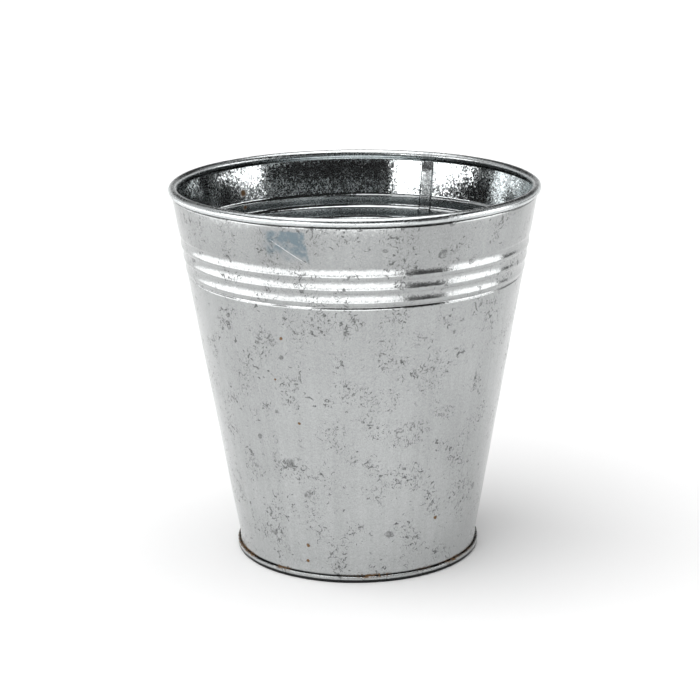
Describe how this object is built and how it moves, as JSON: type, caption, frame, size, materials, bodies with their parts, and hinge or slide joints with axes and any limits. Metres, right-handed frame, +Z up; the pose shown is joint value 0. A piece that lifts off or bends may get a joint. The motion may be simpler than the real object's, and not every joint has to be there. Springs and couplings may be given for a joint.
{
  "type": "florist bucket",
  "caption": "Tapered galvanised sheet-metal florist bucket with a wired rolled rim, swaged beads below it, a locked side seam and a double-seamed recessed bottom",
  "frame": {"origin": "centre of the base, on the surface that the bucket stands on", "axes": "+Z up along the bucket's axis of revolution, +X to the right seen from the front, -Y towards the front; the lock seam is at the back, 63.5 degrees from +X towards +Y"},
  "size_m": [0.17, 0.17, 0.174],
  "materials": {
    "galvanised_sheet": "dull weathered galvanised zinc with soft streaks and small rust spots",
    "steel_wire": "bare drawn steel, hidden inside the rolled rim",
    "seam_sealant": "matt cured sealing compound, hidden inside the seams"
  },
  "bodies": {
    "root": {"side_wall": "galvanised_sheet", "bottom_disc": "galvanised_sheet", "rim_wire": "steel_wire", "bottom_seam_seal": "seam_sealant", "side_seam_seal": "seam_sealant"}
  },
  "joints": []
}
